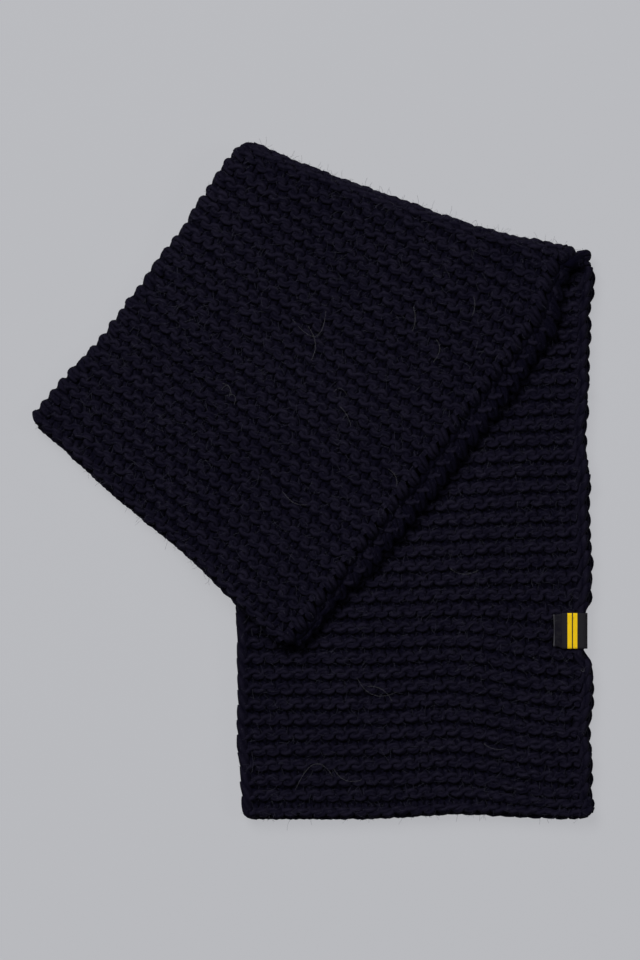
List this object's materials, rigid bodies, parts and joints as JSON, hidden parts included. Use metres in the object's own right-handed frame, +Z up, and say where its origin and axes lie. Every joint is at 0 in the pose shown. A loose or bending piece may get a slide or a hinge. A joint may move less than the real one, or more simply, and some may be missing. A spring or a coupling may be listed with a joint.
{
  "type": "knit scarf",
  "caption": "Chunky garter-stitch scarf lying double on a flat surface and folded over once on the slant, with a woven tab on its edge.",
  "frame": {"origin": "on the surface the scarf lies on, under the middle of its outline", "axes": "+Z up from that surface, +Y along the lower stretch towards the fold, +X to the right seen from above with the fold away from the viewer"},
  "size_m": [0.396, 0.481, 0.0323],
  "materials": {
    "yarn": "matte hairy wool yarn, navy black",
    "ribbon": "matte woven ribbon, charcoal with a plain yellow stripe"
  },
  "bodies": {
    "root": {"lower_stretch": "yarn", "turned_fold": "yarn", "folded_stretch": "yarn", "label_tab": "ribbon"}
  },
  "joints": []
}
